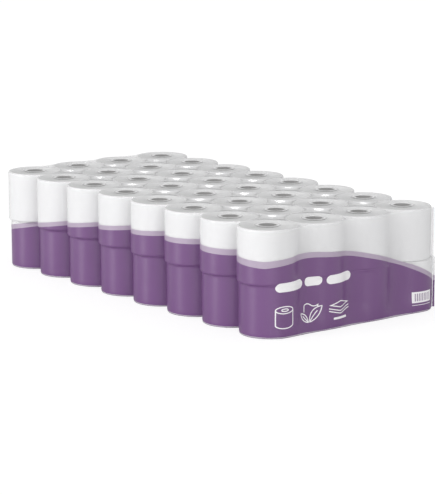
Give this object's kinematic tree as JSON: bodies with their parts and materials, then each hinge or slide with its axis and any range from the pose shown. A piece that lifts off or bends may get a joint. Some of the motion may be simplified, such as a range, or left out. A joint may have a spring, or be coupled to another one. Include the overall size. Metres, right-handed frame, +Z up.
{
  "type": "toilet paper roll pack",
  "caption": "Bulk pack of upright toilet rolls in two layers, sealed in one clear film printed purple up to a wavy edge, with plain white marks on one end.",
  "frame": {"origin": "middle of the pack's foot, on the surface that it rests on", "axes": "+Y along the pack's long side, away from the printed end; +X across the short end; +Z up, along the rolls' cores"},
  "size_m": [0.4238, 0.836, 0.1908],
  "materials": {
    "film": "clear glossy film",
    "print_purple": "opaque glossy ink on film",
    "print_lilac": "thin ink on film, slightly see-through",
    "print_white": "opaque white ink on film",
    "tissue": "soft matt",
    "core_board": "matt"
  },
  "bodies": {
    "root": {"film_wrap": "film", "print_field": "print_purple", "print_edge_band": "print_lilac", "print_marks": "print_white", "roll_upper_row1_col1": "tissue", "roll_upper_row1_col2": "tissue", "roll_upper_row1_col3": "tissue", "roll_upper_row1_col4": "tissue", "rolls_lower_row1": "tissue", "cores_upper_row1": "core_board", "cores_lower_row1": "core_board", "roll_upper_row2_col1": "tissue", "roll_upper_row2_col2": "tissue", "roll_upper_row2_col3": "tissue", "roll_upper_row2_col4": "tissue", "rolls_lower_row2": "tissue", "cores_upper_row2": "core_board", "cores_lower_row2": "core_board", "roll_upper_row3_col1": "tissue", "roll_upper_row3_col2": "tissue", "roll_upper_row3_col3": "tissue", "roll_upper_row3_col4": "tissue", "rolls_lower_row3": "tissue", "cores_upper_row3": "core_board", "cores_lower_row3": "core_board", "roll_upper_row4_col1": "tissue", "roll_upper_row4_col2": "tissue", "roll_upper_row4_col3": "tissue", "roll_upper_row4_col4": "tissue", "rolls_lower_row4": "tissue", "cores_upper_row4": "core_board", "cores_lower_row4": "core_board", "roll_upper_row5_col1": "tissue", "roll_upper_row5_col2": "tissue", "roll_upper_row5_col3": "tissue", "roll_upper_row5_col4": "tissue", "rolls_lower_row5": "tissue", "cores_upper_row5": "core_board", "cores_lower_row5": "core_board", "roll_upper_row6_col1": "tissue", "roll_upper_row6_col2": "tissue", "roll_upper_row6_col3": "tissue", "roll_upper_row6_col4": "tissue", "rolls_lower_row6": "tissue", "cores_upper_row6": "core_board", "cores_lower_row6": "core_board", "roll_upper_row7_col1": "tissue", "roll_upper_row7_col2": "tissue", "roll_upper_row7_col3": "tissue", "roll_upper_row7_col4": "tissue", "rolls_lower_row7": "tissue", "cores_upper_row7": "core_board", "cores_lower_row7": "core_board", "roll_upper_row8_col1": "tissue", "roll_upper_row8_col2": "tissue", "roll_upper_row8_col3": "tissue", "roll_upper_row8_col4": "tissue", "rolls_lower_row8": "tissue", "cores_upper_row8": "core_board", "cores_lower_row8": "core_board"}
  },
  "joints": []
}
